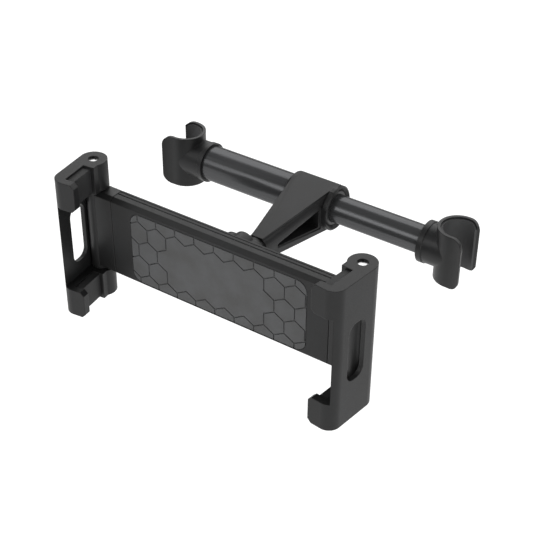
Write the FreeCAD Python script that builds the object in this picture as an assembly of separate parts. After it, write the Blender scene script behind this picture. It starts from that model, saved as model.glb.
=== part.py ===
import FreeCAD, Part
import math
import os

# Headrest tablet mount.
# +X runs along the bar from the left hook to the right hook, +Y points to the
# headrest, +Z is up. The origin is on the axis of the left post seat, at the
# height of the bar axis. All sizes are in millimetres.

# Running and seating clearances
fit_gap = 0.05            # seated piece in its hole, same body
run_gap = 0.08            # shaft turning or sliding in its hole
free_gap = 0.35           # faces of pieces that move past each other

# Bar and hooks
hook_spacing = 152.0      # post axis to post axis as shown
seat_radius = 7.4         # post seat inside the liner
liner_wall = 1.0
hook_wall = 1.5
hook_height = 26.5
hook_mouth_angle = 50.0   # rear arm stops this far above the outward axis
lip_reach = 6.6           # front lip beyond the post axis
lip_flare_radius = 17.0
lip_corner = 5.0          # rounding of the lip corners, seen from the front
liner_inset = 0.8
socket_radius = 9.6
socket_reach = 16.0       # post axis to socket rim
socket_rim = 2.6          # length of the raised rim
socket_rim_step = 0.4
spigot_length = 11.0
outer_tube_radius = 8.8
outer_tube_wall = 1.3
outer_tube_length = 82.0
inner_tube_radius = 6.8
inner_tube_wall = 1.0
bush_flange_radius = 10.6
bush_flange = 3.2
rim_chamfer = 0.6         # on the rims of the bush and of the arm's collar
bush_depth = 20.0         # guide length inside the outer tube
plug_head = 4.0
plug_length = 6.0
plug_stop_gap = 0.3       # plug head to bush, hooks fully apart
bar_spring_turns = 7.0
bar_spring_wire = 0.5     # wire radius
bar_spring_radius = 6.2
coil_steps = 9            # straight steps in one turn of a spring
coil_sides = 5            # sides of a spring's wire

# Arm
arm_length = 47.0         # bar axis to the arm's front end
collar_radius = 11.2
collar_length = 30.4
arm_back_half_width = 12.2
arm_front_half_width = 5.6
arm_back_top = 10.5
arm_front_top = 4.2
arm_back_bottom = -10.4
arm_front_bottom = -6.3
arm_shoulder = 2.5
plate_back_half_width = 9.7
plate_front_half_width = 3.2
plate_step = 0.6
arm_web = 2.4
window_back = 13.7        # pocket corners, measured forward from the bar axis
window_front = 39.0
window_top = 5.2
window_bottom_back = -4.4
window_bottom_front = -4.0
window_front_height = 1.6
window_corner = 0.7
boss_radius_arm = 6.2
boss_length_arm = 2.5

# Ball joint
ball_radius = 7.5
ball_gap = 0.15
ball_shell = 0.6          # wall of the seat and of the friction ring
ball_cavity_gap = 0.15
ball_from_cover = 8.75    # ball centre behind the rear face of the cover
neck_radius = 3.4
stud_radius = 3.0
stud_depth = 10.0
socket_collar_wall = 3.2
socket_collar_past = 2.0  # collar reaches this far past the ball centre
nut_radius = 15.0
nut_lobes = 16
nut_lobe_radius = 2.5
nut_front = 4.2           # nut starts this far in front of the ball centre
nut_back = 5.5            # and ends this far behind it

# Clamp body
bar_to_pins = 73.0        # bar axis to the plane of the hinge pins
clamp_drop = 2.1          # clamp centre below the bar axis
clamp_shift = 75.3        # clamp centre from the left post axis
pin_spacing = 140.0
body_half_length = 57.8
body_half_height = 20.9
body_front = -3.95
body_back = 4.25
body_top_chamfer = 1.8
body_bottom_chamfer = 1.8
parting_plane = 1.1
front_wall = 1.6
cover_wall = 1.8
side_wall = 2.4
parting_bevel = 0.35
line_groove = 0.35
line_groove_at = 2.8
post_radius = 2.9
post_places = (-46.0, -23.0, 23.0, 46.0)
screw_radius = 1.1
screw_head_radius = 2.0
screw_head = 1.0
screw_depth = 3.2

# Grip pad with hexagons
pad_half_length = 46.8
pad_top = 17.6
pad_bottom = -18.3
pad_corner = 5.0
pad_thickness = 0.9
pad_recess = 0.8
pad_gap = 0.25
hex_side = 6.06
hex_shift = -0.8
hex_rise = 8.44           # height of the first full row of cells
hex_groove = 0.6
hex_groove_depth = 0.45
hex_blank_half_length = 29.0

# Sliders, rack and pinion
jaw_travel = 42.0
seam_gap = 0.3
knuckle_radius = 4.6
knuckle_extra = 0.3
rail_front_gap = 0.3
rail_back_gap = 0.3
rail_top_gap = 0.35
rail_reach = 50.0         # rail runs this far past the clamp centre
gear_module = 1.0
gear_teeth = 12
gear_addendum = 0.85
gear_dedendum = 1.2
gear_backlash = 0.3
gear_pressure = 20.0
pinion_pin_radius = 1.5
rack_past = 4.0
slot_half_height = 2.4
slot_centre = 12.6
slot_mouth = 12.0         # closed end of the spring slot, past the centre
spring_radius = 1.6
spring_wire = 0.5
spring_turns = 8.0
spring_coil = 44.0        # length of the wound part
anchor_radius = 0.9

# Jaws, in a frame at the hinge pin: x outward, y to the rear
jaw_half_height = 35.45
hook_inner = 21.6         # hooks start this far from mid-height
jaw_boss_radius = 6.35
jaw_depth = 24.2
jaw_corner = 5.6
jaw_plate = 2.05
shell_gap = 0.3
shell_rear_angle = 50.0
lip_thickness = 3.6
lip_beyond = 6.2          # lip end inward of the pin axis
lip_chamfer = 1.8
pad_back = 0.5            # back wall of the pad pocket
pad_face = -3.2
pad_rear = -7.0
pad_end_gap = 1.0
rib_depth = 1.1
slot_front = -15.0
slot_rear = -4.4
slot_half = 14.6
slot_corner = 4.4
jaw_lean = 6.6            # jaws lean inward by this angle as shown
pin_radius = 2.3
pin_recess = 1.0

X = FreeCAD.Vector(1, 0, 0)
Y = FreeCAD.Vector(0, 1, 0)
Z = FreeCAD.Vector(0, 0, 1)


def vec(x, y, z):
    return FreeCAD.Vector(x, y, z)


def box(x0, x1, y0, y1, z0, z1):
    return Part.makeBox(x1 - x0, y1 - y0, z1 - z0, vec(x0, y0, z0))


def rod(radius, start, axis, length):
    return Part.makeCylinder(radius, length, start, axis)


def ball(radius, centre):
    """A sphere whose poles lie along Y."""
    return Part.makeSphere(radius, centre, Y)


def polygon_face(points):
    return Part.Face(Part.makePolygon(points + [points[0]]))


def rounded_prism(points, radius, push):
    """A flat outline with all corners along the push direction rounded."""
    solid = polygon_face(points).extrude(push)
    direction = FreeCAD.Vector(push).normalize()
    edges = [e for e in solid.Edges if along(e, direction)]
    return solid.makeFillet(radius, edges)


def along(edge, direction):
    if not isinstance(edge.Curve, Part.Line):
        return False
    return abs(abs(edge.Curve.Direction.dot(direction)) - 1) < 1e-6


def edges_at(solid, direction, **place):
    """Straight edges along a direction that lie at the given coordinates."""
    found = []
    for edge in solid.Edges:
        middle = edge.CenterOfMass
        near = all(abs(getattr(middle, k) - v) < 0.01 for k, v in place.items())
        if near and along(edge, direction):
            found.append(edge)
    return found


def fuse(first, *others):
    return first.fuse(list(others)).removeSplitter()


def mirrored(shape):
    return shape.mirror(vec(0, 0, 0), X)


def moved(shape, x, y, z):
    copy = shape.copy()
    copy.translate(vec(x, y, z))
    return copy


def turned(shape, angle):
    copy = shape.copy()
    copy.rotate(vec(0, 0, 0), Z, angle)
    return copy


def save(name, shape):
    shape.exportStep("parts/%s.step" % name)


# Hooks


def hook_band(inner, outer, height, reach):
    """A wall round the post seat with one mouth and a flared front lip.

    The seat axis is the origin and the mouth opens along +X.
    """
    mouth = math.radians(hook_mouth_angle)

    def ring(radius, angle):
        return vec(radius * math.cos(angle), radius * math.sin(angle), -height / 2)

    def flare(radius):
        bend = lip_flare_radius + outer_hook_radius - radius
        turn = math.asin(reach / bend)
        centre = vec(0, -radius - bend, -height / 2)
        middle = centre + vec(bend * math.sin(turn / 2), bend * math.cos(turn / 2), 0)
        end = centre + vec(bend * math.sin(turn), bend * math.cos(turn), 0)
        return middle, end

    outer_middle, outer_end = flare(outer)
    inner_middle, inner_end = flare(inner)
    front_outer = ring(outer, -math.pi / 2)
    front_inner = ring(inner, -math.pi / 2)
    edges = [
        Part.Arc(ring(outer, mouth), ring(outer, math.pi), front_outer).toShape(),
        Part.Arc(front_outer, outer_middle, outer_end).toShape(),
        Part.makeLine(outer_end, inner_end),
        Part.Arc(inner_end, inner_middle, front_inner).toShape(),
        Part.Arc(front_inner, ring(inner, math.pi), ring(inner, mouth)).toShape(),
        Part.makeLine(ring(inner, mouth), ring(outer, mouth)),
    ]
    return Part.Face(Part.Wire(edges)).extrude(vec(0, 0, height))


def lip_outline(reach, half_height, corner):
    """Everything inward of the lip ends, with the two end corners rounded."""
    span = 3 * outer_hook_radius
    solid = box(-span, reach, -span, span, -half_height, half_height)
    corners = edges_at(solid, Y, x=reach)
    return solid.makeFillet(corner, corners)


outer_hook_radius = seat_radius + liner_wall + hook_wall
hook_shell_radius = seat_radius + liner_wall
tube_bore = outer_tube_radius - outer_tube_wall


def hook(tube_radius, tube_wall):
    """Hook shell with its tube socket, opening along +X."""
    band = hook_band(hook_shell_radius, outer_hook_radius, hook_height, lip_reach)
    shell = band.common(lip_outline(lip_reach, hook_height / 2, lip_corner))
    socket = rod(socket_radius, vec(-socket_reach, 0, 0), X, socket_reach)
    rim_start = vec(-socket_reach, 0, 0)
    rim = rod(socket_radius + socket_rim_step, rim_start, X, socket_rim)
    body = fuse(shell, socket, rim)
    inside = rod(hook_shell_radius, vec(0, 0, -hook_height), Z, 2 * hook_height)
    body = body.cut(inside)
    bore_length = socket_reach - outer_hook_radius - fit_gap
    bore_start = vec(-socket_reach, 0, 0)
    bore = rod(tube_radius + fit_gap, bore_start, X, bore_length)
    body = body.cut(bore)
    spigot_start = vec(-socket_reach - spigot_length + bore_length, 0, 0)
    spigot = rod(tube_radius - tube_wall - fit_gap, spigot_start, X, spigot_length + 0.5)
    return fuse(body, spigot)


def hook_liner():
    height = hook_height - 2 * liner_inset
    reach = lip_reach - liner_inset
    band = hook_band(seat_radius, hook_shell_radius, height, reach)
    corner = lip_corner - liner_inset
    return band.common(lip_outline(reach, height / 2, corner))


tube_seat = outer_hook_radius + fit_gap + fit_gap


def build_bar():
    outer_hook = hook(outer_tube_radius, outer_tube_wall)
    inner_hook = hook(inner_tube_radius, inner_tube_wall)
    save("left_hook", mirrored(outer_hook))
    save("left_hook_liner", mirrored(hook_liner()))
    save("right_hook", moved(inner_hook, hook_spacing, 0, 0))
    save("right_hook_liner", moved(hook_liner(), hook_spacing, 0, 0))

    tube_start = vec(tube_seat, 0, 0)
    outer = rod(outer_tube_radius, tube_start, X, outer_tube_length)
    save("outer_tube", outer.cut(rod(tube_bore, tube_start, X, outer_tube_length)))

    outer_end = tube_seat + outer_tube_length
    inner_start = outer_end - bush_depth - plug_stop_gap
    inner_length = hook_spacing - tube_seat - inner_start
    inner_bore = inner_tube_radius - inner_tube_wall
    inner = rod(inner_tube_radius, vec(inner_start, 0, 0), X, inner_length)
    inner = inner.cut(rod(inner_bore, vec(inner_start, 0, 0), X, inner_length))
    save("inner_tube", inner)

    guide_radius = inner_tube_radius + run_gap
    sleeve_start = vec(outer_end - bush_depth, 0, 0)
    sleeve = rod(tube_bore - fit_gap, sleeve_start, X, bush_depth + bush_flange)
    flange = rod(bush_flange_radius, vec(outer_end + fit_gap, 0, 0), X, bush_flange)
    flange_edges = [e for e in flange.Edges if abs(e.CenterOfMass.x - outer_end) > 1]
    flange = flange.makeChamfer(rim_chamfer, [e for e in flange_edges if not along(e, X)])
    bush = fuse(sleeve, flange)
    total = bush_depth + 2 * bush_flange
    save("guide_bush", bush.cut(rod(guide_radius, sleeve_start, X, total)))

    head_start = inner_start - plug_head
    head = rod(tube_bore - run_gap, vec(head_start, 0, 0), X, plug_head - fit_gap)
    stem_length = plug_head + plug_length
    stem = rod(inner_bore - fit_gap, vec(head_start, 0, 0), X, stem_length)
    save("slide_plug", fuse(head, stem))

    spigot_end = outer_hook_radius + fit_gap + spigot_length
    spring_start = spigot_end + bar_spring_wire + free_gap
    spring_end = head_start - bar_spring_wire - free_gap
    length = spring_end - spring_start
    coil = coil_along_x(bar_spring_radius, bar_spring_wire, bar_spring_turns, length)
    save("bar_spring", moved(coil, spring_start, 0, 0))


def coil_along_x(radius, wire, turns, length):
    """A wound spring about the X axis, from x = 0 to the given length.

    It starts and ends below the axis. Its wire has a many-sided section that is
    carried round step by step.
    """
    count = int(turns * coil_steps)
    sections = []
    for k in range(count + 1):
        angle = 2 * math.pi * k / coil_steps
        points = []
        for side in range(coil_sides):
            around = 2 * math.pi * side / coil_sides
            out = radius + wire * math.cos(around)
            x = length * k / count + wire * math.sin(around)
            points.append(vec(x, out * math.sin(angle), -out * math.cos(angle)))
        sections.append(Part.makePolygon(points + [points[0]]))
    return Part.makeLoft(sections, True, True)


# Arm


def frustum(first, second):
    """A solid with flat sides between two outlines of matching corners."""
    faces = [polygon_face(first), polygon_face(second)]
    for k in range(len(first)):
        after = (k + 1) % len(first)
        side = [first[k], first[after], second[after], second[k]]
        faces.append(polygon_face(side))
    return Part.makeSolid(Part.makeShell(faces))


def arm_section(y, half_width, bottom, top, shoulder):
    return [
        vec(-half_width, y, bottom),
        vec(half_width, y, bottom),
        vec(half_width, y, top - shoulder),
        vec(half_width - shoulder, y, top),
        vec(shoulder - half_width, y, top),
        vec(-half_width, y, top - shoulder),
    ]


def arm_plate_section(y, half_width, top):
    return [
        vec(-half_width, y, top - 2 * plate_step),
        vec(half_width, y, top - 2 * plate_step),
        vec(half_width, y, top + plate_step),
        vec(-half_width, y, top + plate_step),
    ]


def build_arm():
    back = arm_section(
        0, arm_back_half_width, arm_back_bottom, arm_back_top, arm_shoulder
    )
    front = arm_section(
        -arm_length, arm_front_half_width, arm_front_bottom, arm_front_top, arm_shoulder
    )
    plate_back = arm_plate_section(0, plate_back_half_width, arm_back_top)
    plate_front = arm_plate_section(-arm_length, plate_front_half_width, arm_front_top)
    wedge = frustum(back, front)
    plate = frustum(plate_back, plate_front)
    collar = rod(collar_radius, vec(-collar_length / 2, 0, 0), X, collar_length)
    collar = collar.makeChamfer(rim_chamfer, [e for e in collar.Edges if not along(e, X)])
    boss_start = vec(0, -arm_length - boss_length_arm, -clamp_drop)
    boss = rod(boss_radius_arm, boss_start, Y, stud_depth)
    solid = fuse(wedge, plate, collar, boss)
    bore_start = vec(-collar_length, 0, 0)
    solid = solid.cut(rod(outer_tube_radius + fit_gap, bore_start, X, 2 * collar_length))
    for side in (-1, 1):
        solid = solid.cut(arm_window(side))
    stud = rod(stud_radius + fit_gap, boss_start, Y, stud_depth)
    solid = solid.cut(stud)
    save("arm", moved(solid, clamp_shift, 0, 0))


def arm_window(side):
    """The pocket in one cheek of the arm, down to the middle web."""
    front_top = window_bottom_front + window_front_height
    points = [
        vec(0, -window_back, window_top),
        vec(0, -window_back, window_bottom_back),
        vec(0, -window_front, window_bottom_front),
        vec(0, -window_front, front_top),
    ]
    depth = 2 * arm_back_half_width
    pocket = rounded_prism(points, window_corner, vec(depth, 0, 0))
    pocket = moved(pocket, arm_web / 2, 0, 0)
    return pocket if side > 0 else mirrored(pocket)


# Ball joint, in the clamp frame: ball centre on the Y axis

ball_y = body_back + ball_from_cover
shell_inner = ball_radius + ball_gap
shell_outer = shell_inner + ball_shell
cavity_radius = shell_outer + ball_cavity_gap
collar_outer = cavity_radius + socket_collar_wall


def ball_band(start_angle, end_angle):
    """A zone of the thin shell round the ball, between two angles from -Y."""
    centre = vec(0, ball_y, 0)
    shell = ball(shell_outer, centre).cut(ball(shell_inner, centre))
    y0 = ball_y - shell_outer * math.cos(math.radians(start_angle))
    y1 = ball_y - shell_outer * math.cos(math.radians(end_angle))
    span = 2 * shell_outer
    return shell.common(box(-span, span, y0, y1, -span, span))


def build_ball_joint():
    arm_end = bar_to_pins - arm_length - boss_length_arm
    neck_end = arm_end - fit_gap
    neck = rod(neck_radius, vec(0, ball_y, 0), Y, neck_end - ball_y)
    shank = rod(stud_radius, vec(0, ball_y, 0), Y, arm_end + stud_depth - ball_y - 0.5)
    stud = fuse(ball(ball_radius, vec(0, ball_y, 0)), neck, shank)
    save("ball_stud", in_clamp(stud))
    save("ball_seat", in_clamp(ball_band(28, 62)))
    save("ball_ring", in_clamp(ball_band(94, 117)))

    nut_start = ball_y - nut_front
    length = nut_front + nut_back
    nut = rod(nut_radius - 1.0, vec(0, nut_start, 0), Y, length)
    lobes = []
    lobe_circle = nut_radius - nut_lobe_radius
    for k in range(nut_lobes):
        angle = 2 * math.pi * (k + 0.5) / nut_lobes
        place = vec(lobe_circle * math.cos(angle), nut_start, lobe_circle * math.sin(angle))
        lobes.append(rod(nut_lobe_radius, place, Y, length))
    nut = fuse(nut, *lobes)
    bore = collar_outer + run_gap
    nut = nut.cut(rod(bore, vec(0, nut_start, 0), Y, nut_front + socket_collar_past + 0.3))
    nut = nut.cut(ball(cavity_radius, vec(0, ball_y, 0)))
    mouth = math.sqrt(cavity_radius**2 - nut_back**2)
    nut = nut.cut(rod(mouth, vec(0, ball_y, 0), Y, 2 * nut_back))
    save("lock_nut", in_clamp(nut))


# Clamp body


def body_section(x0, x1, front, back, half_height):
    """The clamp's outer section between two places along X."""
    points = [
        vec(x0, back, -half_height),
        vec(x0, back, half_height),
        vec(x0, front + body_top_chamfer, half_height),
        vec(x0, front, half_height - body_top_chamfer),
        vec(x0, front, body_bottom_chamfer - half_height),
        vec(x0, front + body_bottom_chamfer, -half_height),
    ]
    return polygon_face(points).extrude(vec(x1 - x0, 0, 0))


def in_clamp(shape):
    return moved(shape, clamp_shift, -bar_to_pins, -clamp_drop)


cavity_front = body_front + front_wall
cavity_back = body_back - cover_wall
cavity_half_height = body_half_height - side_wall


def parting_groove(face_y, step):
    """Bevels along the top and bottom parting edges."""
    cuts = []
    for sign in (-1, 1):
        points = [
            vec(-body_half_length, face_y, sign * (body_half_height + 1)),
            vec(-body_half_length, face_y, sign * (body_half_height - parting_bevel)),
            vec(-body_half_length, face_y + step, sign * body_half_height),
            vec(-body_half_length, face_y + step, sign * (body_half_height + 1)),
        ]
        cuts.append(polygon_face(points).extrude(vec(2 * body_half_length, 0, 0)))
    return cuts


def build_housing():
    length = body_half_length
    whole = body_section(-length, length, body_front, body_back, body_half_height)
    span = 2 * length
    front_space = box(-span, span, body_front - 1, parting_plane, -span, span)
    front = whole.common(front_space)
    cavity = box(-span, span, cavity_front, span, -cavity_half_height, cavity_half_height)
    front = front.cut(cavity)
    post_length = parting_plane - body_front - 0.5
    for place in post_places:
        post = rod(post_radius, vec(place, body_front + 0.5, 0), Y, post_length)
        front = fuse(front, post)
        hole = rod(screw_radius + fit_gap, vec(place, cavity_front, 0), Y, span)
        front = front.cut(hole)
    front = front.cut(pad_outline(pad_gap, body_front - 1, body_front + pad_recess))
    front = front.cut(parting_groove(parting_plane, -parting_bevel))
    save("front_housing", in_clamp(front))

    cover = whole.common(box(-span, span, parting_plane, span, -span, span))
    cover = cover.cut(
        box(-span, span, 0, cavity_back, -cavity_half_height, cavity_half_height)
    )
    cover_post = cavity_back - parting_plane
    for place in post_places:
        post = rod(post_radius, vec(place, parting_plane, 0), Y, cover_post + 0.5)
        cover = fuse(cover, post)
    collar = rod(collar_outer, vec(0, cavity_back + 0.4, 0), Y, ball_y - cavity_back - 0.4)
    top = rod(collar_outer, vec(0, ball_y, 0), Y, socket_collar_past)
    cover = fuse(cover, collar, top)
    cover = cover.cut(ball(cavity_radius, vec(0, ball_y, 0)))
    cover = cover.cut(rod(cavity_radius, vec(0, ball_y, 0), Y, 2 * socket_collar_past))
    pin_hole = rod(pinion_pin_radius + fit_gap, vec(0, parting_plane, 0), Y, pin_seat)
    cover = cover.cut(pin_hole)
    for place in post_places:
        hole = rod(screw_radius + fit_gap, vec(place, 0, 0), Y, span)
        head_start = vec(place, body_back - screw_head, 0)
        head = rod(screw_head_radius + fit_gap, head_start, Y, span)
        cover = cover.cut(hole).cut(head)
    cover = cover.cut(parting_groove(parting_plane, parting_bevel))
    line_top = body_half_height - line_groove
    cover = cover.cut(
        box(-span, span, line_groove_at, line_groove_at + line_groove, line_top, span)
    )
    for spring_side in (-1, 1):
        cover = fuse(cover, spring_anchor(spring_side))
    save("back_cover", in_clamp(cover))

    screws = []
    for place in post_places:
        head_start = vec(place, body_back - screw_head + fit_gap, 0)
        head = rod(screw_head_radius, head_start, Y, screw_head - 2 * fit_gap)
        shank_start = vec(place, body_back - screw_head - screw_depth, 0)
        shank = rod(screw_radius, shank_start, Y, screw_depth + 0.3)
        drive = rod(0.7, vec(place, body_back - 0.6, 0), Y, 2.0)
        screws.append(fuse(head, shank).cut(drive))
    save("housing_screws", in_clamp(Part.makeCompound(screws)))


pin_seat = cavity_back - parting_plane + 1.2


def pad_outline(gap, y0, y1):
    """The pad's rounded rectangle, grown by a gap, between two depths."""
    reach = pad_half_length + gap
    points = [
        vec(-reach, y0, pad_bottom - gap),
        vec(reach, y0, pad_bottom - gap),
        vec(reach, y0, pad_top + gap),
        vec(-reach, y0, pad_top + gap),
    ]
    return rounded_prism(points, pad_corner + gap, vec(0, y1 - y0, 0))


def hexagon(x, z, side, y0, y1):
    points = []
    for k in range(6):
        angle = math.radians(30 + 60 * k)
        points.append(vec(x + side * math.cos(angle), y0, z + side * math.sin(angle)))
    return polygon_face(points).extrude(vec(0, y1 - y0, 0))


def hex_cells():
    """Centres of the cells that show: both ends, and along the two edges."""
    width = hex_side * math.sqrt(3)
    cells = []
    for row in range(-3, 2):
        z = hex_rise + 1.5 * hex_side * row
        offset = hex_shift + (width / 2 if row % 2 else 0)
        edge_row = z > pad_top - hex_side or z < pad_bottom + hex_side
        for column in range(-6, 7):
            x = offset + column * width
            reached = abs(x) < pad_half_length + hex_side
            if reached and (edge_row or abs(x - hex_shift) > hex_blank_half_length):
                cells.append((x, z))
    return cells


def build_grip_pad():
    back = body_front + pad_recess
    face = back - pad_thickness
    pad = pad_outline(0, face, back)
    rings = []
    groove = hex_groove / math.sqrt(3)
    for x, z in hex_cells():
        floor = face + hex_groove_depth
        ring = hexagon(x, z, hex_side + groove, face - 1, floor)
        rings.append(ring.cut(hexagon(x, z, hex_side - groove, face - 1, floor)))
    pad = pad.cut(rings[0].fuse(rings[1:]))
    save("grip_pad", in_clamp(pad))


# Sliders

rail_front = cavity_front + rail_front_gap
rail_back = cavity_back - rail_back_gap
pitch_radius = gear_module * gear_teeth / 2
tooth_pitch = math.pi * gear_module
rail_low = pitch_radius + gear_dedendum
rail_high = cavity_half_height - rail_top_gap


def rack_tooth(x):
    """One rack tooth pointing down from a rail above the pinion."""
    slope = math.tan(math.radians(gear_pressure))
    half_pitch_width = tooth_pitch / 4 - gear_backlash / 2
    tip = half_pitch_width - gear_addendum * slope
    root = half_pitch_width + (gear_dedendum + 0.2) * slope
    points = [
        vec(x - root, rail_front, rail_low + 0.2),
        vec(x + root, rail_front, rail_low + 0.2),
        vec(x + tip, rail_front, pitch_radius - gear_addendum),
        vec(x - tip, rail_front, pitch_radius - gear_addendum),
    ]
    return polygon_face(points).extrude(vec(0, rail_back - rail_front, 0))


def spring_anchor(side):
    """A stub on the cover that holds one end of a jaw spring."""
    x = -side * (body_half_length - 2.6)
    z = -side * slot_centre
    length = cavity_back - cavity_front - 0.6
    return rod(anchor_radius, vec(x, cavity_back + 0.3 - length, z), Y, length)


def slider():
    """The left slider: tongue and knuckle outside, rail and rack inside."""
    seam = body_half_length + seam_gap
    pin_x = -pin_spacing / 2
    tongue = body_section(pin_x, -seam, body_front, body_back, body_half_height)
    height = body_half_height + knuckle_extra
    knuckle = rod(knuckle_radius, vec(pin_x, 0, -height), Z, 2 * height)
    rail = box(-seam - 0.5, rail_reach, rail_front, rail_back, rail_low, rail_high)
    count = int((rail_reach - 3.0) / tooth_pitch)
    first = -int(rack_past / tooth_pitch)
    teeth = [rack_tooth(k * tooth_pitch) for k in range(first, count + 1)]
    body = fuse(tongue, knuckle, rail, *teeth)
    slot_low = slot_centre - slot_half_height
    slot_high = slot_centre + slot_half_height
    slot = box(
        -slot_mouth, rail_reach + 1, rail_front - 1, rail_back + 1, slot_low, slot_high
    )
    body = body.cut(slot)
    bore = rod(pin_radius + run_gap, vec(pin_x, 0, -height - 1), Z, 2 * height + 2)
    body = body.cut(bore)
    hook_length = rail_back - rail_front
    hook_start = vec(-slot_mouth + 1.4, rail_front, slot_centre)
    post = rod(anchor_radius, hook_start, Y, hook_length)
    arm = box(
        -slot_mouth - 0.5,
        -slot_mouth + 1.4,
        rail_front,
        rail_front + 1.2,
        slot_centre - anchor_radius,
        slot_centre + anchor_radius,
    )
    return fuse(body, post, arm)


def jaw_spring():
    """The left slider's closing spring: a coil between two straight legs."""
    start = -slot_mouth + 1.4 + anchor_radius + fit_gap
    end = body_half_length - 2.6 - anchor_radius - fit_gap
    middle = (start + end) / 2
    coil_start = middle - spring_coil / 2
    centre_y = (rail_front + rail_back) / 2
    coil = coil_along_x(spring_radius, spring_wire, spring_turns, spring_coil)
    coil = moved(coil, coil_start, centre_y, slot_centre)
    leg_z = slot_centre - spring_radius
    leg_one = rod(spring_wire, vec(start, centre_y, leg_z), X, coil_start - start + 0.3)
    leg_two_start = vec(coil_start + spring_coil - 0.3, centre_y, leg_z)
    leg_two = rod(spring_wire, leg_two_start, X, end - coil_start - spring_coil + 0.3)
    return coil.fuse([leg_one, leg_two])


def half_turned(shape):
    """The same piece turned half round the clamp's Y axis."""
    copy = shape.copy()
    copy.rotate(vec(0, 0, 0), Y, 180)
    return copy


def involute(base, radius):
    """Angle of an involute of a base circle where it reaches a radius."""
    pressure = math.acos(base / radius)
    return math.tan(pressure) - pressure


def pinion():
    base = pitch_radius * math.cos(math.radians(gear_pressure))
    tip = pitch_radius + gear_addendum
    root = pitch_radius - gear_dedendum
    half_tooth = (tooth_pitch / 2 - gear_backlash) / (2 * pitch_radius)
    at_pitch = involute(base, pitch_radius)
    radii = [base + (tip - base) * k / 4 for k in range(5)]
    points = []
    for tooth in range(gear_teeth):
        centre = math.pi / 2 + 2 * math.pi * (tooth + 0.5) / gear_teeth
        offsets = [half_tooth + at_pitch - involute(base, r) for r in radii]
        flank = [(root, offsets[0])] + list(zip(radii, offsets))
        for radius, offset in flank:
            points.append((radius, centre - offset))
        for radius, offset in reversed(flank):
            points.append((radius, centre + offset))
    outline = [vec(r * math.cos(a), rail_front, r * math.sin(a)) for r, a in points]
    gear = polygon_face(outline).extrude(vec(0, rail_back - rail_front, 0))
    bore = rod(pinion_pin_radius + run_gap, vec(0, rail_front - 1, 0), Y, 20)
    return gear.cut(bore)


def build_sliders():
    left = slider()
    save("left_slider", in_clamp(left))
    save("right_slider", in_clamp(half_turned(left)))
    spring = jaw_spring()
    save("left_jaw_spring", in_clamp(spring))
    save("right_jaw_spring", in_clamp(half_turned(spring)))
    save("pinion", in_clamp(pinion()))
    pin_end = parting_plane + pin_seat - fit_gap
    pin_start = cavity_front + fit_gap
    pin = rod(pinion_pin_radius, vec(0, pin_start, 0), Y, pin_end - pin_start)
    save("pinion_pin", in_clamp(pin))


# Jaws

plate_inner = jaw_boss_radius - jaw_plate
shell_radius = knuckle_radius + shell_gap


def jaw_block(z0, z1):
    """Boss, outer wall, rib and lip of one jaw hook between two heights."""
    height = z1 - z0
    boss = rod(jaw_boss_radius, vec(0, 0, z0), Z, height)
    wall = box(pad_back, jaw_boss_radius, -jaw_depth, 0, z0, z1)
    corner = edges_at(wall, Z, x=jaw_boss_radius, y=-jaw_depth)
    wall = wall.makeFillet(jaw_corner, corner)
    rib = box(pad_rear + 2.0, pad_back + 1, pad_rear, 0, z0, z1)
    lip = box(-lip_beyond, pad_back + 0.2, -jaw_depth, lip_thickness - jaw_depth, z0, z1)
    ends = edges_at(lip, Y, x=-lip_beyond)
    lip = lip.makeChamfer(lip_chamfer, ends)
    return fuse(boss, wall, rib, lip)


def jaw():
    """The right jaw, upright at its pin."""
    upper = jaw_block(hook_inner, jaw_half_height)
    lower = jaw_block(-jaw_half_height, -hook_inner)
    height = 2 * hook_inner
    wall = box(plate_inner, jaw_boss_radius, -jaw_depth, 0, -hook_inner, hook_inner)
    outer = box(pad_back, jaw_boss_radius, -jaw_depth, 0, -hook_inner, hook_inner)
    corner = edges_at(outer, Z, x=jaw_boss_radius, y=-jaw_depth)
    wall = wall.common(outer.makeFillet(jaw_corner, corner))
    ring = rod(jaw_boss_radius, vec(0, 0, -hook_inner), Z, height)
    reach = 3 * jaw_boss_radius
    start = math.asin(-plate_inner / shell_radius) + math.pi / 2
    end = math.radians(shell_rear_angle)
    wedge = polygon_face(
        [
            vec(0, 0, -hook_inner),
            vec(reach * math.cos(-start), reach * math.sin(-start), -hook_inner),
            vec(reach, 0, -hook_inner),
            vec(reach * math.cos(end), reach * math.sin(end), -hook_inner),
        ]
    ).extrude(vec(0, 0, height))
    wall = fuse(wall, ring.common(wedge))
    wall = wall.cut(rod(shell_radius, vec(0, 0, -hook_inner), Z, height))
    solid = fuse(upper, wall, lower)
    slot_points = [
        vec(0, slot_front, -slot_half),
        vec(0, slot_rear, -slot_half),
        vec(0, slot_rear, slot_half),
        vec(0, slot_front, slot_half),
    ]
    slot = rounded_prism(slot_points, slot_corner, vec(2 * jaw_boss_radius, 0, 0))
    solid = solid.cut(slot)
    hole_start = vec(0, 0, -jaw_half_height - 1)
    solid = solid.cut(
        rod(pin_radius + fit_gap, hole_start, Z, 2 * jaw_half_height + 2)
    )
    return solid


def jaw_pad(z0, z1):
    return box(
        pad_face,
        pad_back,
        lip_thickness - jaw_depth,
        pad_rear,
        z0,
        z1,
    )


def build_jaws():
    low = hook_inner + pad_end_gap / 2
    high = jaw_half_height - pad_end_gap
    pin_half = jaw_half_height - pin_recess
    pieces = {
        "jaw": jaw(),
        "upper_pad": jaw_pad(low, high),
        "lower_pad": jaw_pad(-high, -low),
        "pin": rod(pin_radius, vec(0, 0, -pin_half), Z, 2 * pin_half),
    }
    for name, shape in pieces.items():
        leaned = turned(shape, -jaw_lean)
        placed = moved(leaned, pin_spacing / 2, 0, 0)
        save("right_" + name, in_clamp(placed))
        save("left_" + name, in_clamp(mirrored(placed)))


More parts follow.
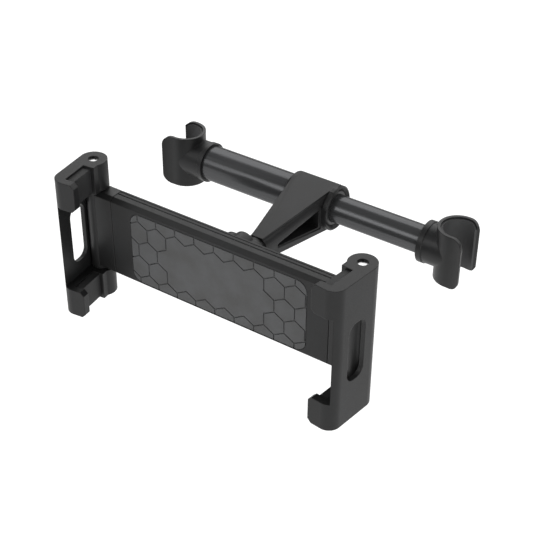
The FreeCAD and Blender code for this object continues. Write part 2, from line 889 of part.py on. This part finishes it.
os.makedirs("parts", exist_ok=True)
build_bar()
build_arm()
build_ball_joint()
build_housing()
build_grip_pad()
build_sliders()
build_jaws()
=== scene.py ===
import bmesh
import bpy
import math
from mathutils import Matrix, Vector


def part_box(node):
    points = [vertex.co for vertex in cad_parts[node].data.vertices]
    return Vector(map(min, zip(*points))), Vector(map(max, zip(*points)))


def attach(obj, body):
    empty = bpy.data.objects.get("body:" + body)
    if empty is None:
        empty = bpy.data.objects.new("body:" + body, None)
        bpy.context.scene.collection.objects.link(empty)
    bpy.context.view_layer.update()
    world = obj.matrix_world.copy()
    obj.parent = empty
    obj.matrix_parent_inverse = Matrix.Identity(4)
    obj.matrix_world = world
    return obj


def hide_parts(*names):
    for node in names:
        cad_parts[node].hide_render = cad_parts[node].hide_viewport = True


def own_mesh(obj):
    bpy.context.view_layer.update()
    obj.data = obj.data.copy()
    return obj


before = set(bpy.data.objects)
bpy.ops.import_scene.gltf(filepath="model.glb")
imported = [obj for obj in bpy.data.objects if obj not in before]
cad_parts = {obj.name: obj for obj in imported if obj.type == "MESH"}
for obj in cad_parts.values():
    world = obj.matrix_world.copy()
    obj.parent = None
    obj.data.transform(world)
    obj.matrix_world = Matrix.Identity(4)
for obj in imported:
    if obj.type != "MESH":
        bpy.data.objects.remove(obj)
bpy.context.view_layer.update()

MM = 0.001                # lengths in this script are metres

# Camera, as the photograph was taken; angles in degrees
FOCAL = 1261.6            # in pixels of the square photograph
PHOTO_SIZE = 540          # width and height in pixels
AZIMUTH = 34.4            # from the front towards the right
ELEVATION = 35.15
ROLL = 0.46
DISTANCE = 0.549          # to the clamp's centre
CENTRE_PIXEL = (221.1, 276.1)     # where the photograph shows the clamp's centre
SENSOR = 36.0
CLIP = (0.01, 50.0)       # nearest and farthest that the camera sees

# Stage and light
FLOOR_DROP = 0.16         # the floor lies this far under the lowest point
FLOOR_SIZE = 60.0
FLOOR_GLOW = 0.85         # keeps the paper white and even, also far from the lights
FLOOR_TONES = ((0.29, 0.29, 0.29), (0.3, 0.3, 0.3))
WHITE = (1.0, 1.0, 1.0, 1.0)
DOME_LOW = (0.35, 0.35, 0.35, 1.0)    # the dome's tone below and at the horizon
DOME_TOP = 0.9            # height on a dome of radius 1 where it is white
DOME_STRENGTH = 0.3
PAPER_STRENGTH = 0.95     # what the camera sees past the floor

# Soft boxes: place from the clamp's centre, width and height, power in watts
SOFT_BOXES = {
    "back_box": ((-0.1, 0.9, 0.8), (2.2, 1.2), 17.0),
    "right_box": ((1.2, -0.2, 0.5), (0.6, 0.6), 3.5),
    "left_box": ((-1.0, -0.3, 0.6), (0.6, 0.6), 3.0),
    "front_strip": ((0.8, -1.2, 0.05), (1.6, 0.25), 8.0),
    "front_box": ((-0.3, -1.1, 0.65), (1.1, 0.5), 5.0),
}

# Finishes: dark and light colours as shares of a finish's own tone
PLASTIC_TINTS = ((0.88, 0.88, 0.88), (1.08, 1.1, 1.14))
RUBBER_TINTS = ((0.9, 0.9, 0.9), (1.1, 1.12, 1.15))
STEEL_TINTS = ((0.85, 0.85, 0.85), (1.0, 1.0, 1.0))
ACETAL_TINTS = ((0.95, 0.95, 0.95), (1.0, 1.0, 0.97))
TUBE_TONES = ((0.076, 0.077, 0.079), (0.088, 0.089, 0.092))
TUBE_EDGE = (0.4, 0.4, 0.4, 1.0)      # tint of the plating seen at a flat angle
NOISE_LOW = 0.35          # noise up to here gives a finish's low or dark end
NOISE_HIGH = 0.65         # and from here on its high or light end
GRAIN = 0.35 * MM         # grain of the moulded plastic
BEVEL_SAMPLES = 8
SHARP_ANGLE = 32.0        # edges sharper than this many degrees stay hard

# Pieces made here, with finer forms than their solids
ROUND = 96                # sides of a turned form
ARC = 6                   # steps of a small rounded corner
OVERLAP = 0.5 * MM        # how far a cutting form runs past the surface it opens
TUBE_WALL = 1.3 * MM
TUBE_IN_COLLAR = 2.4 * MM     # the tube ends this far inside the collar's right end
BUSH_DEPTH = 20.0 * MM    # length of the bush inside the outer tube
BUSH_FLANGE = 1.5 * MM
SLIDE_GAP = 0.08 * MM     # round the sliding inner tube
SEAT_GAP = 0.05 * MM      # between fixed pieces
RIM_BEVEL = 0.6 * MM

ARM_SHIFT = 0.8 * MM      # arm's middle plane, right of the ball's axis
ARM_LENGTH = 47.0 * MM    # bar axis to the arm's front end
COLLAR_RADIUS = 10.5 * MM
COLLAR_LEFT = 11.8 * MM   # the collar's ends, from the arm's middle plane
COLLAR_RIGHT = 13.3 * MM
RING_RADIUS = 11.0 * MM   # raised rings at the collar's ends
RING_WIDTH = 3.0 * MM
COLLAR_SINK = 1.4 * MM    # countersink round the bar at the right end
SADDLE_INSET = 0.7 * MM   # from the collar's ends
SADDLE_BACK = 3.0 * MM    # reach behind and before the bar's axis
SADDLE_FRONT = 4.0 * MM
SADDLE_CORNER = 2.5 * MM
ARM_WEB = 2.4 * MM        # wall left between the two pockets
PLATE_STEP = 1.1 * MM     # the top plate stands this far above the shoulders
SHOULDER_STEPS = 6
FRAME_WIDTH = 1.2 * MM    # shallow step round a pocket
FRAME_DEPTH = 0.5 * MM
WINDOW_CORNER = 0.7 * MM
BOSS_RADIUS = 6.2 * MM    # boss at the arm's front that holds the stud
BOSS_LENGTH = 2.5 * MM
STUD_RADIUS = 3.05 * MM
STUD_DEPTH = 10.0 * MM

NUT_RADIUS = 13.4 * MM    # to the tips of the lobes
NUT_LOBES = 8
NUT_LOBE_RADIUS = 5.5 * MM
NUT_RIM = 0.15 * MM       # least wall left by the bevel at the nut's ends
NUT_BORE = 11.68 * MM
NUT_CAVITY = 8.4 * MM     # round hollow behind the ball's socket
NUT_FRONT = 4.2 * MM      # the nut's ends, from the ball centre
NUT_BACK = 5.5 * MM
NUT_BORE_PAST = 2.3 * MM  # the wide bore ends this far behind the ball centre

SPRING_WIRE = 0.5 * MM    # radius of the bar spring's wire
SPRING_TURNS = 11
SPRING_END_PITCH = 1.1 * MM   # one closed turn at each end
SPRING_STEPS = 32         # in one turn
SPRING_SIDES = 10         # of the wire


def box_of(*nodes):
    """The lowest and highest corner round some nodes at rest."""
    corners = [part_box(n) for n in nodes]
    low = Vector([min(c[0][k] for c in corners) for k in range(3)])
    high = Vector([max(c[1][k] for c in corners) for k in range(3)])
    return low, high


def clamp_centre():
    """The middle of the clamp's body: between the jaw pins and at mid-height."""
    low, high = box_of("left_pin", "right_pin")
    return (low + high) / 2


def solid(name, points, faces):
    """A closed mesh of triangles, all turned outwards, so that it can be joined or cut."""
    mesh = bpy.data.meshes.new(name)
    mesh.from_pydata(points, [], faces)
    form = bmesh.new()
    form.from_mesh(mesh)
    bmesh.ops.triangulate(form, faces=form.faces)
    bmesh.ops.recalc_face_normals(form, faces=form.faces)
    form.to_mesh(mesh)
    form.free()
    obj = bpy.data.objects.new(name, mesh)
    bpy.context.scene.collection.objects.link(obj)
    return obj


def loft(name, sections, closed=False):
    """A solid through outlines of matching corners; closed joins the last to the first."""
    count = len(sections[0])
    points = [p for section in sections for p in section]
    faces = []
    for row in range(len(sections) if closed else len(sections) - 1):
        near = row * count
        far = (row + 1) % len(sections) * count
        for k in range(count):
            after = (k + 1) % count
            faces.append((near + k, near + after, far + after, far + k))
    if not closed:
        faces.append(tuple(range(count)))
        faces.append(tuple(range(len(points) - count, len(points))))
    return solid(name, points, faces)


def turned(name, profile, centre, along, closed=False):
    """A form turned round X or Y through a centre, from (place, radius) pairs.

    Its corners lie at half steps, off the middle planes, so that cuts stay clean.
    """
    sections = []
    for place, radius in profile:
        section = []
        for k in range(ROUND):
            angle = 2 * math.pi * (k + 0.5) / ROUND
            a = radius * math.cos(angle)
            b = radius * math.sin(angle)
            offset = (place, a, b) if along == "X" else (a, place, b)
            section.append(Vector(centre) + Vector(offset))
        sections.append(section)
    return loft(name, sections, closed)


def rounded_corners(points, radius):
    """A flat outline with each corner replaced by an arc."""
    outline = []
    for k, corner in enumerate(points):
        here = Vector(corner)
        before = (Vector(points[k - 1]) - here).normalized()
        after = (Vector(points[(k + 1) % len(points)]) - here).normalized()
        half = before.angle(after) / 2
        centre = here + (before + after).normalized() * radius / math.sin(half)
        start = here + before * radius / math.tan(half) - centre
        end = here + after * radius / math.tan(half) - centre
        for step in range(ARC + 1):
            blend = start.lerp(end, step / ARC).normalized() * radius
            outline.append(centre + blend)
    return outline


def combine(target, others, operation):
    """Joins other solids to the target, or cuts them out of it."""
    for other in others:
        change = target.modifiers.new("change", "BOOLEAN")
        change.operation = operation
        change.solver = "MANIFOLD"
        change.object = other
    shaped = target.evaluated_get(bpy.context.evaluated_depsgraph_get())
    mesh = bpy.data.meshes.new_from_object(shaped)
    target.modifiers.clear()
    target.data = mesh
    for other in others:
        bpy.data.objects.remove(other)


def finish_piece(piece, node, body, finish):
    """Dresses a piece and lets it stand for the node it replaces."""
    piece.data.materials.clear()
    piece.data.materials.append(finish)
    piece.data.shade_smooth()
    piece.data.set_sharp_from_angle(angle=math.radians(SHARP_ANGLE))
    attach(piece, body)
    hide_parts(node)


def bar_axis():
    """A point on the bar's axis, in the middle plane of the arm."""
    tube_low, tube_high = box_of("outer_tube")
    ball_low, ball_high = box_of("ball_stud")
    middle = (ball_low.x + ball_high.x) / 2 + ARM_SHIFT
    return Vector((middle, (tube_low.y + tube_high.y) / 2, (tube_low.z + tube_high.z) / 2))


def ball_centre():
    """The ball is its stud's widest part, and touches the stud's box in front and below."""
    low, high = box_of("ball_stud")
    radius = (high.x - low.x) / 2
    return Vector((low.x + radius, low.y + radius, low.z + radius))


def arm_outline(y, half, plate_half, bottom, top, shoulder):
    """Section of the arm: straight cheeks, rounded shoulders and a raised top plate."""
    low = top - PLATE_STEP - shoulder
    right = [(half, bottom)]
    for k in range(SHOULDER_STEPS + 1):
        angle = math.pi / 2 * k / SHOULDER_STEPS
        x = plate_half + (half - plate_half) * math.cos(angle)
        right.append((x, low + shoulder * math.sin(angle)))
    right.append((plate_half, top))
    left = [(-x, z) for x, z in reversed(right)]
    return [(x, y, z) for x, z in right + left]


class Arm:
    """The arm's heights and half widths: at its back, on the bar's axis, and at its front."""
    half = (11.6 * MM, 5.0 * MM)
    plate_half = (11.2 * MM, 3.0 * MM)
    top = (11.0 * MM, 4.5 * MM)
    bottom = (-10.4 * MM, -5.9 * MM)
    shoulder = (4.6 * MM, 3.4 * MM)
    window_back = 10.9 * MM   # the pocket starts this far before the bar's axis
    window_end = 7.5 * MM     # and ends this far behind the arm's front end
    window_top = 3.6 * MM
    window_bottom = (-6.0 * MM, -2.8 * MM)
    window_front_height = 1.6 * MM


def at(origin, points):
    """Points given from an origin, as places in the frame."""
    return [origin + Vector(p) for p in points]


def arm_wedge(origin):
    """The arm's body, which narrows from the bar to the ball joint."""
    sections = []
    for k, y in enumerate((0.0, -ARM_LENGTH)):
        outline = arm_outline(
            y, Arm.half[k], Arm.plate_half[k], Arm.bottom[k], Arm.top[k], Arm.shoulder[k]
        )
        sections.append(at(origin, outline))
    return loft("arm_skin", sections)


def arm_collar(origin):
    """The collar round the bar, with a raised ring at each end."""
    step = RING_RADIUS - COLLAR_RADIUS
    profile = []
    for end, inward in ((-COLLAR_LEFT, 1), (COLLAR_RIGHT, -1)):
        ring = [
            (end, RING_RADIUS - RIM_BEVEL), (end + inward * RIM_BEVEL, RING_RADIUS),
            (end + inward * (RING_WIDTH - step), RING_RADIUS),
            (end + inward * RING_WIDTH, COLLAR_RADIUS),
        ]
        profile += ring if inward > 0 else ring[::-1]
    return turned("collar", profile, origin, "X")


def arm_saddle(origin):
    """The flat top of the collar, in one plane with the plate."""
    slope = (Arm.top[0] - Arm.top[1]) / ARM_LENGTH
    x0 = SADDLE_INSET - COLLAR_LEFT
    x1 = COLLAR_RIGHT - SADDLE_INSET
    outline = [(x0, -SADDLE_FRONT), (x1, -SADDLE_FRONT), (x1, SADDLE_BACK)]
    centre = (x0 + SADDLE_CORNER, SADDLE_BACK - SADDLE_CORNER)
    for step in range(ARC + 1):
        angle = math.pi / 2 * (1 + step / ARC)
        x = centre[0] + SADDLE_CORNER * math.cos(angle)
        outline.append((x, centre[1] + SADDLE_CORNER * math.sin(angle)))
    low = at(origin, [(x, y, COLLAR_RADIUS / 2) for x, y in outline])
    high = at(origin, [(x, y, Arm.top[0] + slope * y) for x, y in outline])
    return loft("arm_saddle", [low, high])


def window_corners(grow):
    """Corners of the pocket in one cheek, as (y, z), grown at the back, top and bottom."""
    front = -(ARM_LENGTH - Arm.window_end)
    bottom_back, bottom_front = Arm.window_bottom
    return [
        (grow - Arm.window_back, Arm.window_top + grow / 2),
        (grow - Arm.window_back, bottom_back - grow),
        (front, bottom_front - grow / 2),
        (front, bottom_front + Arm.window_front_height),
    ]


def arm_pocket(origin, side):
    """One cheek's pocket down to the web, and the shallow step round it."""
    lean = (Arm.half[0] - Arm.half[1]) / ARM_LENGTH
    far = 2 * Arm.half[0]
    deep = rounded_corners(window_corners(0), WINDOW_CORNER)
    step = rounded_corners(window_corners(FRAME_WIDTH), WINDOW_CORNER)
    pocket = loft("pocket", [
        at(origin, [(side * x, y, z) for y, z in deep]) for x in (ARM_WEB / 2, far)
    ])
    floor = Arm.half[0] - FRAME_DEPTH
    frame_step = loft("frame_step", [
        at(origin, [(side * (floor + lean * y), y, z) for y, z in step]),
        at(origin, [(side * far, y, z) for y, z in step]),
    ])
    return [pocket, frame_step]


def build_arm(finish):
    """The arm with its collar, saddle, front boss and two pockets."""
    origin = bar_axis()
    ball = ball_centre()
    arm = arm_wedge(origin)
    parts = [arm_saddle(origin), arm_collar(origin)]
    boss_axis = Vector((ball.x, origin.y, ball.z))
    boss_start = -ARM_LENGTH - BOSS_LENGTH
    boss = [(boss_start, BOSS_RADIUS), (boss_start + STUD_DEPTH, BOSS_RADIUS)]
    parts.append(turned("boss", boss, boss_axis, "Y"))
    combine(arm, parts, "UNION")
    bore = (box_of("outer_tube")[1].z - origin.z) + SEAT_GAP
    bore_and_sink = [
        (-COLLAR_LEFT - OVERLAP, bore), (COLLAR_RIGHT - COLLAR_SINK, bore),
        (COLLAR_RIGHT, bore + COLLAR_SINK), (COLLAR_RIGHT + OVERLAP, bore + COLLAR_SINK),
    ]
    cuts = [turned("bore", bore_and_sink, origin, "X")]
    hole = [(boss_start - OVERLAP, STUD_RADIUS), (boss_start + STUD_DEPTH, STUD_RADIUS)]
    cuts.append(turned("stud_hole", hole, boss_axis, "Y"))
    for side in (-1, 1):
        cuts += arm_pocket(origin, side)
    combine(arm, cuts, "DIFFERENCE")
    finish_piece(arm, "arm", "arm", finish)


def build_tube(tube_material, bush_material):
    """The outer tube, and the bush at its end inside the arm's collar."""
    axis = bar_axis()
    low, high = box_of("outer_tube")
    radius = (high.z - low.z) / 2
    bore = radius - TUBE_WALL
    start = low.x - axis.x
    end = COLLAR_RIGHT - TUBE_IN_COLLAR
    profile = [(start, bore), (start, radius), (end, radius), (end, bore)]
    tube = turned("outer_tube_skin", profile, axis, "X", closed=True)
    finish_piece(tube, "outer_tube", "bar", tube_material)
    inner_low, inner_high = box_of("inner_tube")
    guide = (inner_high.z - inner_low.z) / 2 + SLIDE_GAP
    sleeve = bore - SEAT_GAP
    last = end + SEAT_GAP + BUSH_FLANGE
    profile = [
        (end - BUSH_DEPTH, guide), (end - BUSH_DEPTH, sleeve),
        (end + SEAT_GAP, sleeve), (end + SEAT_GAP, radius),
        (last - RIM_BEVEL, radius), (last, radius - RIM_BEVEL), (last, guide),
    ]
    bush = turned("guide_bush_skin", profile, axis, "X", closed=True)
    finish_piece(bush, "guide_bush", "bar", bush_material)


def lobed(radius_of):
    """Radii round the nut; each lobe is an arc whose centre lies on a smaller circle."""
    circle = NUT_RADIUS - NUT_LOBE_RADIUS
    pitch = 2 * math.pi / NUT_LOBES
    radii = []
    for k in range(ROUND):
        off = (2 * math.pi * k / ROUND + pitch / 2) % pitch - pitch / 2
        chord = math.sqrt(NUT_LOBE_RADIUS ** 2 - (circle * math.sin(off)) ** 2)
        radii.append(radius_of(circle * math.cos(off) + chord))
    return radii


def build_nut(finish):
    """The lobed nut round the ball's socket, open at both ends."""
    ball = ball_centre()
    full = lobed(lambda r: r)
    narrow = lobed(lambda r: max(r - RIM_BEVEL, NUT_BORE + NUT_RIM))
    rings = [
        (-NUT_FRONT, narrow), (RIM_BEVEL - NUT_FRONT, full),
        (NUT_BACK - RIM_BEVEL, full), (NUT_BACK, narrow),
    ]
    for k in range(ARC + 1):
        y = NUT_BACK + (NUT_BORE_PAST - NUT_BACK) * k / ARC
        rings.append((y, [math.sqrt(NUT_CAVITY ** 2 - y ** 2)] * ROUND))
    rings.append((NUT_BORE_PAST, [NUT_BORE] * ROUND))
    rings.append((-NUT_FRONT, [NUT_BORE] * ROUND))
    sections = []
    for y, radii in rings:
        section = []
        for k, radius in enumerate(radii):
            angle = 2 * math.pi * k / ROUND
            section.append((radius * math.cos(angle), y, radius * math.sin(angle)))
        sections.append(at(ball, section))
    nut = loft("lock_nut_skin", sections, closed=True)
    finish_piece(nut, "lock_nut", "lock_nut", finish)


def build_spring(finish):
    """The bar's coil spring, made at one fixed length; in the real clamp the inner tube
    squeezes it as it slides in.
    """
    axis = bar_axis()
    low, high = box_of("bar_spring")
    radius = (high.z - low.z) / 2 - SPRING_WIRE
    start = low.x + SPRING_WIRE
    length = high.x - low.x - 2 * SPRING_WIRE
    pitch = (length - 2 * SPRING_END_PITCH) / (SPRING_TURNS - 2)
    sections = []
    for k in range(SPRING_TURNS * SPRING_STEPS + 1):
        turn = k / SPRING_STEPS
        x = start + SPRING_END_PITCH * min(turn, 1)
        x += pitch * min(max(turn - 1, 0), SPRING_TURNS - 2)
        x += SPRING_END_PITCH * max(turn - SPRING_TURNS + 1, 0)
        angle = 2 * math.pi * turn
        outward = Vector((0, math.cos(angle), math.sin(angle)))
        centre = Vector((x, axis.y, axis.z)) + outward * radius
        section = []
        for side in range(SPRING_SIDES):
            turned_by = 2 * math.pi * side / SPRING_SIDES
            offset = outward * math.cos(turned_by) + Vector((math.sin(turned_by), 0, 0))
            section.append(centre + offset * SPRING_WIRE)
        sections.append(section)
    spring = loft("bar_spring_coil", sections)
    finish_piece(spring, "bar_spring", "bar", finish)
    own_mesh(spring)


class Nodes:
    """A small helper that adds shader nodes to one material."""

    def __init__(self, name):
        self.material = bpy.data.materials.new(name)
        self.material.use_nodes = True
        self.tree = self.material.node_tree
        self.shader = self.tree.nodes["Principled BSDF"]

    def add(self, kind, **values):
        node = self.tree.nodes.new(kind)
        for key, value in values.items():
            setattr(node, key, value)
        return node

    def link(self, start, end):
        self.tree.links.new(start, end)

    def feed(self, socket, source):
        """Links a node's output to a socket of the shader."""
        self.link(source, self.shader.inputs[socket])

    def fix(self, **sockets):
        """Sets constants of the shader; an underscore stands for a space in a name."""
        for name, value in sockets.items():
            self.shader.inputs[name.replace("_", " ")].default_value = value

    def place(self):
        """The surface's own place, which doesn't move with the camera."""
        return self.add("ShaderNodeTexCoord").outputs["Object"]

    def noise(self, scale, detail=2.0, rough=0.5, stretch=None):
        """Noise in the surface's own place; a small stretch value draws it out."""
        node = self.add("ShaderNodeTexNoise")
        node.inputs["Scale"].default_value = scale
        node.inputs["Detail"].default_value = detail
        node.inputs["Roughness"].default_value = rough
        source = self.place()
        if stretch:
            mapping = self.add("ShaderNodeMapping")
            mapping.inputs["Scale"].default_value = stretch
            self.link(source, mapping.inputs["Vector"])
            source = mapping.outputs["Vector"]
        self.link(source, node.inputs["Vector"])
        return node.outputs["Fac"]

    def spread(self, source, low, high):
        """Stretches noise to the range from low to high."""
        node = self.add("ShaderNodeMapRange")
        node.inputs["From Min"].default_value = NOISE_LOW
        node.inputs["From Max"].default_value = NOISE_HIGH
        node.inputs["To Min"].default_value = low
        node.inputs["To Max"].default_value = high
        self.link(source, node.inputs["Value"])
        return node.outputs["Result"]

    def ramp(self, source, dark, light):
        """Turns noise into colours between a dark and a light one."""
        node = self.add("ShaderNodeValToRGB")
        node.color_ramp.elements[0].position = NOISE_LOW
        node.color_ramp.elements[0].color = (*dark, 1.0)
        node.color_ramp.elements[1].position = NOISE_HIGH
        node.color_ramp.elements[1].color = (*light, 1.0)
        self.link(source, node.inputs["Fac"])
        return node.outputs["Color"]

    def rounded(self, radius):
        """Normals that soften each edge by a radius."""
        node = self.add("ShaderNodeBevel", samples=BEVEL_SAMPLES)
        node.inputs["Radius"].default_value = radius
        return node.outputs["Normal"]

    def bump(self, source, strength, distance, normal=None):
        """Normals that follow the noise as a height."""
        node = self.add("ShaderNodeBump")
        node.inputs["Strength"].default_value = strength
        node.inputs["Distance"].default_value = distance
        self.link(source, node.inputs["Height"])
        if normal:
            self.link(normal, node.inputs["Normal"])
        return node.outputs["Normal"]


def tints(tone, shares):
    """The dark and the light colour of a finish."""
    return [[tone * share for share in colour] for colour in shares]


def plastic(name, grey, rough=0.42, gloss=0.3, edge=0.45 * MM):
    """Matt moulded plastic with a fine spark-eroded grain and soft edges."""
    m = Nodes(name)
    cloud = m.noise(scale=60.0, detail=3.0)
    m.feed("Base Color", m.ramp(cloud, *tints(grey, PLASTIC_TINTS)))
    fine = m.noise(scale=1.0 / GRAIN, detail=3.0, rough=0.6)
    m.feed("Roughness", m.spread(fine, low=rough - 0.05, high=rough + 0.07))
    soft = m.rounded(edge)
    m.feed("Normal", m.bump(fine, strength=0.25, distance=0.04 * MM, normal=soft))
    m.fix(Specular_IOR_Level=gloss)
    return m.material


def rubber(name, grey, rough=0.62, edge=0.25 * MM):
    """Soft rubber: duller than the plastic, with a very fine grain."""
    m = Nodes(name)
    cloud = m.noise(scale=90.0, detail=4.0)
    m.feed("Base Color", m.ramp(cloud, *tints(grey, RUBBER_TINTS)))
    fine = m.noise(scale=4200.0, detail=2.0)
    m.feed("Roughness", m.spread(fine, low=rough - 0.06, high=rough + 0.06))
    soft = m.rounded(edge)
    m.feed("Normal", m.bump(fine, strength=0.3, distance=0.03 * MM, normal=soft))
    m.fix(Specular_IOR_Level=0.3)
    return m.material


def tube_finish():
    """Black plated tube: glossy, with faint drawing marks along the bar."""
    m = Nodes("tube_finish")
    lines = m.noise(scale=900.0, detail=2.0, stretch=(0.02, 1.0, 1.0))
    m.feed("Base Color", m.ramp(lines, *TUBE_TONES))
    m.feed("Roughness", m.spread(lines, low=0.2, high=0.26))
    m.feed("Normal", m.bump(lines, strength=0.02, distance=0.01 * MM))
    m.fix(Metallic=0.6, Specular_Tint=TUBE_EDGE, Specular_IOR_Level=0.3)
    return m.material


def steel(name, tone, rough, stretch, edge=0.15 * MM):
    """Drawn or turned steel with fine marks along one direction."""
    m = Nodes(name)
    lines = m.noise(scale=1500.0, detail=2.0, stretch=stretch)
    m.feed("Base Color", m.ramp(lines, *tints(tone, STEEL_TINTS)))
    m.feed("Roughness", m.spread(lines, low=rough - 0.05, high=rough + 0.08))
    soft = m.rounded(edge)
    m.feed("Normal", m.bump(lines, strength=0.1, distance=0.01 * MM, normal=soft))
    m.fix(Metallic=1.0)
    return m.material


def acetal(name, tone):
    """Slippery white plastic of the hidden gear and ball seats."""
    m = Nodes(name)
    cloud = m.noise(scale=120.0, detail=2.0)
    m.feed("Base Color", m.ramp(cloud, *tints(tone, ACETAL_TINTS)))
    m.feed("Roughness", m.spread(cloud, low=0.3, high=0.4))
    fine = m.noise(scale=2500.0)
    m.feed("Normal", m.bump(fine, strength=0.1, distance=0.01 * MM))
    m.fix(Subsurface_Weight=0.1, Subsurface_Scale=1.0 * MM)
    return m.material


def dress_nodes():
    """Gives every node its finish, and makes the pieces that stand for five of them."""
    hook = plastic("hook_plastic", grey=0.011, rough=0.4)
    body = plastic("body_plastic", grey=0.012, rough=0.46, gloss=0.25)
    tube = tube_finish()
    bush = plastic("bush_plastic", grey=0.02, rough=0.35)
    arm = plastic("arm_plastic", grey=0.015, gloss=0.25)
    nut = plastic("nut_plastic", grey=0.01, rough=0.45)
    wire = steel("spring_steel", tone=0.6, rough=0.28, stretch=(1.0, 1.0, 1.0))
    slider = plastic("slider_plastic", grey=0.01, rough=0.4)
    jaw = plastic("jaw_plastic", grey=0.011, rough=0.44, gloss=0.25)
    pin = steel("pin_steel", tone=0.62, rough=0.25, stretch=(1.0, 1.0, 0.05))
    screw = steel("screw_steel", tone=0.2, rough=0.35, stretch=(1.0, 0.3, 1.0))
    ball = steel("ball_metal", tone=0.7, rough=0.2, stretch=(1.0, 0.1, 1.0))
    finishes = {
        hook: ["left_hook", "right_hook"],
        rubber("liner_rubber", grey=0.045): ["left_hook_liner", "right_hook_liner"],
        tube: ["outer_tube", "inner_tube"],
        bush: ["guide_bush", "slide_plug"],
        arm: ["arm"],
        nut: ["lock_nut"],
        body: ["front_housing", "back_cover"],
        slider: ["left_slider", "right_slider"],
        jaw: ["left_jaw", "right_jaw"],
        rubber("grip_rubber", grey=0.062): ["grip_pad"],
        rubber("jaw_rubber", grey=0.018): [
            "left_upper_pad", "left_lower_pad", "right_upper_pad", "right_lower_pad",
        ],
        pin: ["left_pin", "right_pin", "pinion_pin"],
        screw: ["housing_screws"],
        ball: ["ball_stud"],
        wire: ["bar_spring", "left_jaw_spring", "right_jaw_spring"],
        acetal("gear_plastic", tone=0.8): ["pinion"],
        acetal("seat_plastic", tone=0.75): ["ball_seat", "ball_ring"],
    }
    for material, nodes in finishes.items():
        for node in nodes:
            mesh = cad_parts[node].data
            mesh.materials.clear()
            mesh.materials.append(material)
    build_arm(arm)
    build_tube(tube, bush)
    build_nut(nut)
    build_spring(wire)


def make_camera():
    """The photograph's camera, looking down at the clamp from the front and the right."""
    az = math.radians(AZIMUTH)
    el = math.radians(ELEVATION)
    roll = math.radians(ROLL)
    flat = math.cos(el)
    back = Vector((math.sin(az) * flat, -math.cos(az) * flat, math.sin(el)))
    right = Vector((math.cos(az), math.sin(az), 0.0))
    up = back.cross(right)
    rolled_right = right * math.cos(roll) + up * math.sin(roll)
    rolled_up = up * math.cos(roll) - right * math.sin(roll)
    middle = PHOTO_SIZE / 2
    across = (CENTRE_PIXEL[0] - middle) * DISTANCE / FOCAL
    upward = (middle - CENTRE_PIXEL[1]) * DISTANCE / FOCAL
    place = clamp_centre() - rolled_right * across - rolled_up * upward
    place += back * DISTANCE
    data = bpy.data.cameras.new("photo_camera")
    data.sensor_width = SENSOR
    data.lens = FOCAL / PHOTO_SIZE * SENSOR
    data.clip_start, data.clip_end = CLIP
    camera = bpy.data.objects.new("photo_camera", data)
    axes = Matrix((rolled_right, rolled_up, back)).transposed().to_4x4()
    camera.matrix_world = Matrix.Translation(place) @ axes
    bpy.context.scene.collection.objects.link(camera)
    bpy.context.scene.camera = camera


def make_floor():
    """Pale paper under the whole object."""
    low, high = box_of(*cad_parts)
    middle = (low + high) / 2
    height = low.z - FLOOR_DROP
    half = FLOOR_SIZE / 2
    mesh = bpy.data.meshes.new("floor")
    corners = [(-half, -half), (half, -half), (half, half), (-half, half)]
    points = [(middle.x + x, middle.y + y, height) for x, y in corners]
    mesh.from_pydata(points, [], [(0, 1, 2, 3)])
    floor = bpy.data.objects.new("floor", mesh)
    bpy.context.scene.collection.objects.link(floor)
    m = Nodes("floor_paper")
    m.feed("Base Color", m.ramp(m.noise(scale=3.0), *FLOOR_TONES))
    m.fix(Roughness=0.9, Specular_IOR_Level=0.1)
    m.fix(Emission_Color=WHITE, Emission_Strength=FLOOR_GLOW)
    mesh.materials.append(m.material)


def area_light(name, place, target, size, power):
    """A rectangular soft box that faces the target."""
    data = bpy.data.lights.new(name, "AREA")
    data.shape = "RECTANGLE"
    data.size = size[0]
    data.size_y = size[1]
    data.energy = power
    light = bpy.data.objects.new(name, data)
    direction = Vector(target) - Vector(place)
    light.rotation_euler = direction.to_track_quat("-Z", "Y").to_euler()
    light.location = place
    bpy.context.scene.collection.objects.link(light)


def make_light():
    """Soft boxes on all four sides, in a dim dome that itself shows as pale paper."""
    world = bpy.data.worlds.new("studio")
    world.use_nodes = True
    tree = world.node_tree
    background = tree.nodes["Background"]
    coordinates = tree.nodes.new("ShaderNodeTexCoord")
    split = tree.nodes.new("ShaderNodeSeparateXYZ")
    ramp = tree.nodes.new("ShaderNodeValToRGB")
    ramp.color_ramp.elements[0].position = 0.0
    ramp.color_ramp.elements[0].color = DOME_LOW
    ramp.color_ramp.elements[1].position = DOME_TOP
    ramp.color_ramp.elements[1].color = WHITE
    tree.links.new(coordinates.outputs["Generated"], split.inputs["Vector"])
    tree.links.new(split.outputs["Z"], ramp.inputs["Fac"])
    tree.links.new(ramp.outputs["Color"], background.inputs["Color"])
    background.inputs["Strength"].default_value = DOME_STRENGTH
    paper = tree.nodes.new("ShaderNodeBackground")
    paper.inputs["Color"].default_value = WHITE
    paper.inputs["Strength"].default_value = PAPER_STRENGTH
    choice = tree.nodes.new("ShaderNodeMixShader")
    seen = tree.nodes.new("ShaderNodeLightPath").outputs["Is Camera Ray"]
    tree.links.new(seen, choice.inputs["Fac"])
    tree.links.new(background.outputs["Background"], choice.inputs[1])
    tree.links.new(paper.outputs["Background"], choice.inputs[2])
    tree.links.new(choice.outputs["Shader"], tree.nodes["World Output"].inputs["Surface"])
    bpy.context.scene.world = world
    centre = clamp_centre()
    for name, (offset, size, power) in SOFT_BOXES.items():
        area_light(name, centre + Vector(offset), centre, size, power)


make_camera()
make_floor()
make_light()
dress_nodes()
bpy.context.scene.view_settings.view_transform = "Standard"
